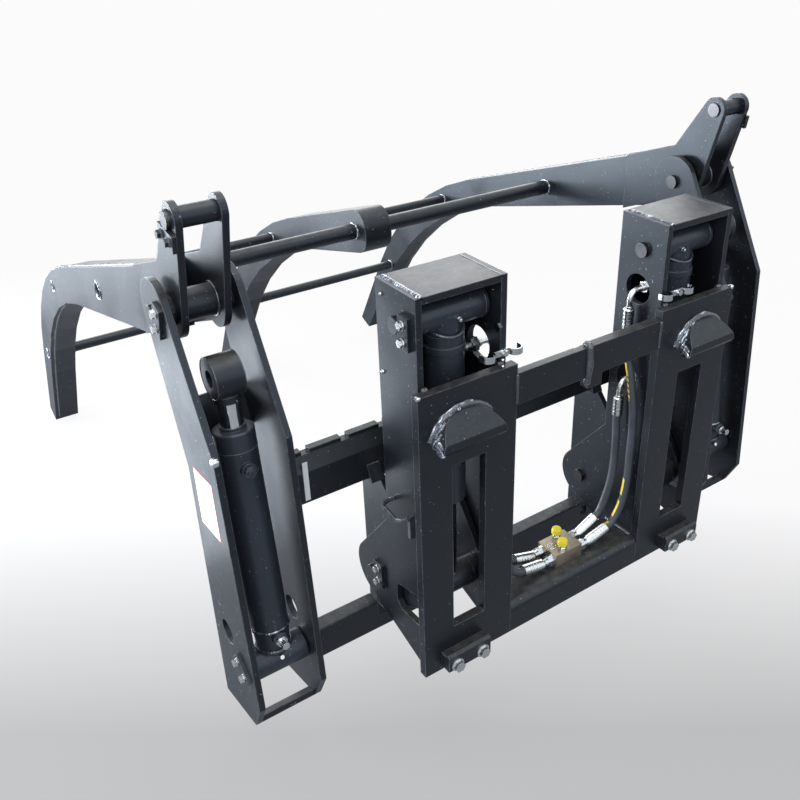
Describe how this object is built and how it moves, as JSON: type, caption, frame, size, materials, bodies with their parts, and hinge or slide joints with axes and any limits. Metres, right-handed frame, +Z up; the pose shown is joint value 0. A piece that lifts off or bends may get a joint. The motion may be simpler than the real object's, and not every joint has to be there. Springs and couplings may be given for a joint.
{
  "type": "forklift rotating fork clamp",
  "caption": "Carriage-hung steel clamp whose front fork frame tilts on two hinges while curved tines swing down over the load on hydraulic cylinders.",
  "frame": {"origin": "on the mounting plane against the truck's carriage, at the bottom of the hook plates, in the clamp's mirror plane", "axes": "+X to the right seen from the truck, +Y forwards to the load, +Z up"},
  "size_m": [1.382, 1.93, 1.157],
  "materials": {
    "black_paint": "satin black powder coat",
    "zinc_plate": "bright zinc plating",
    "hard_chrome": "polished hard chrome",
    "pin_steel": "turned steel, dark",
    "hose_rubber": "ribbed cover",
    "block_brass": "yellow passivated, milled",
    "yellow_plastic": "moulded"
  },
  "bodies": {
    "rear_mount": {"side_plates_left": "black_paint", "side_plates_right": "black_paint", "column_caps": "black_paint", "column_front_webs": "black_paint", "hook_plates": "black_paint", "upper_hooks": "black_paint", "lower_hooks": "black_paint", "lower_hook_bolts": "zinc_plate", "upper_cross_bar": "black_paint", "lower_cross_beam": "black_paint", "tilt_head_pins": "pin_steel", "hinge_pins": "pin_steel", "rear_lock_plates": "black_paint", "rear_lock_bolts": "zinc_plate", "valve_block": "block_brass", "valve_caps": "yellow_plastic", "hose_fittings": "zinc_plate", "hose_right_upper": "hose_rubber", "hose_right_lower": "hose_rubber", "hose_left_upper": "hose_rubber", "hose_left_lower": "hose_rubber", "hose_guide_loop": "black_paint", "hose_clamps": "zinc_plate"},
    "front_frame": {"upper_fork_bar": "black_paint", "lower_fork_bar": "black_paint", "hinge_plates": "black_paint", "hinge_hubs": "black_paint", "gusset_pads": "black_paint", "outer_cheeks": "black_paint", "inner_cheeks": "black_paint", "cheek_spreaders": "black_paint", "clamp_pivot_pins": "pin_steel", "cylinder_base_pins": "pin_steel", "lever_pins": "pin_steel", "front_lock_plates": "black_paint", "front_lock_bolts": "zinc_plate"},
    "clamp": {"tine_left": "black_paint", "tine_middle": "black_paint", "tine_right": "black_paint", "cross_tubes": "black_paint", "outer_levers": "black_paint", "inner_levers": "black_paint", "clamp_hubs": "black_paint", "clevis_pins": "pin_steel", "clevis_sleeves": "black_paint", "clevis_lock_plates": "black_paint"},
    "tilt_barrel_left_body": {"tilt_barrel_left": "black_paint", "port_elbows_left": "zinc_plate"},
    "tilt_barrel_right_body": {"tilt_barrel_right": "black_paint", "port_elbows_right": "zinc_plate"},
    "tilt_rod_left_body": {"tilt_rod_left": "hard_chrome"},
    "tilt_rod_right_body": {"tilt_rod_right": "hard_chrome"},
    "clamp_barrel_left_body": {"clamp_barrel_left": "black_paint", "clamp_ports_left": "zinc_plate"},
    "clamp_barrel_right_body": {"clamp_barrel_right": "black_paint", "clamp_ports_right": "zinc_plate"},
    "clamp_rod_left_body": {"clamp_rod_left": "hard_chrome", "clamp_rod_eye_left": "black_paint"},
    "clamp_rod_right_body": {"clamp_rod_right": "hard_chrome", "clamp_rod_eye_right": "black_paint"}
  },
  "joints": [
    {"name": "front_frame_tilt", "type": "hinge", "parent": "rear_mount", "child": "front_frame", "pos_m": [0, 0.2, 0.12], "axis": [-1, 0, 0], "range_deg": [0, 30]},
    {"name": "clamp_swing", "type": "hinge", "parent": "front_frame", "child": "clamp", "pos_m": [0, 0.315, 0.728], "axis": [1, 0, 0], "range_deg": [0, 85]},
    {"name": "tilt_barrel_left_swing", "type": "hinge", "parent": "rear_mount", "child": "tilt_barrel_left_body", "pos_m": [-0.28, 0.074, 0.713], "axis": [1, 0, 0], "range_deg": [0, 3.2]},
    {"name": "tilt_rod_left_slide", "type": "slide", "parent": "tilt_barrel_left_body", "child": "tilt_rod_left_body", "axis": [0, 0.0106, 0.9999], "range_m": [0, 0.063]},
    {"name": "clamp_barrel_left_swing", "type": "hinge", "parent": "front_frame", "child": "clamp_barrel_left_body", "pos_m": [-0.6065, 0.172, 0.056], "axis": [1, 0, 0], "range_deg": [0, 5.2]},
    {"name": "clamp_rod_left_extend", "type": "slide", "parent": "clamp_barrel_left_body", "child": "clamp_rod_left_body", "axis": [0, 0.1045, 0.9945], "range_m": [0, 0.28]},
    {"name": "tilt_barrel_right_swing", "type": "hinge", "parent": "rear_mount", "child": "tilt_barrel_right_body", "pos_m": [0.28, 0.074, 0.713], "axis": [1, 0, 0], "range_deg": [0, 3.2]},
    {"name": "tilt_rod_right_slide", "type": "slide", "parent": "tilt_barrel_right_body", "child": "tilt_rod_right_body", "axis": [0, 0.0106, 0.9999], "range_m": [0, 0.063]},
    {"name": "clamp_barrel_right_swing", "type": "hinge", "parent": "front_frame", "child": "clamp_barrel_right_body", "pos_m": [0.6065, 0.172, 0.056], "axis": [1, 0, 0], "range_deg": [0, 5.2]},
    {"name": "clamp_rod_right_extend", "type": "slide", "parent": "clamp_barrel_right_body", "child": "clamp_rod_right_body", "axis": [0, 0.1045, 0.9945], "range_m": [0, 0.28]}
  ],
  "couplings": [
    {"joint": "tilt_barrel_left_swing", "follows": "front_frame_tilt", "ratio": 0.1},
    {"joint": "tilt_rod_left_slide", "follows": "front_frame_tilt", "m_per_rad": 0.1185},
    {"joint": "clamp_barrel_left_swing", "follows": "clamp_rod_left_extend", "rad_per_m": 0.3179},
    {"joint": "tilt_barrel_right_swing", "follows": "front_frame_tilt", "ratio": 0.1},
    {"joint": "tilt_rod_right_slide", "follows": "front_frame_tilt", "m_per_rad": 0.1185},
    {"joint": "clamp_barrel_right_swing", "follows": "clamp_rod_left_extend", "rad_per_m": 0.3179},
    {"joint": "clamp_rod_right_extend", "follows": "clamp_rod_left_extend", "ratio": 1}
  ]
}
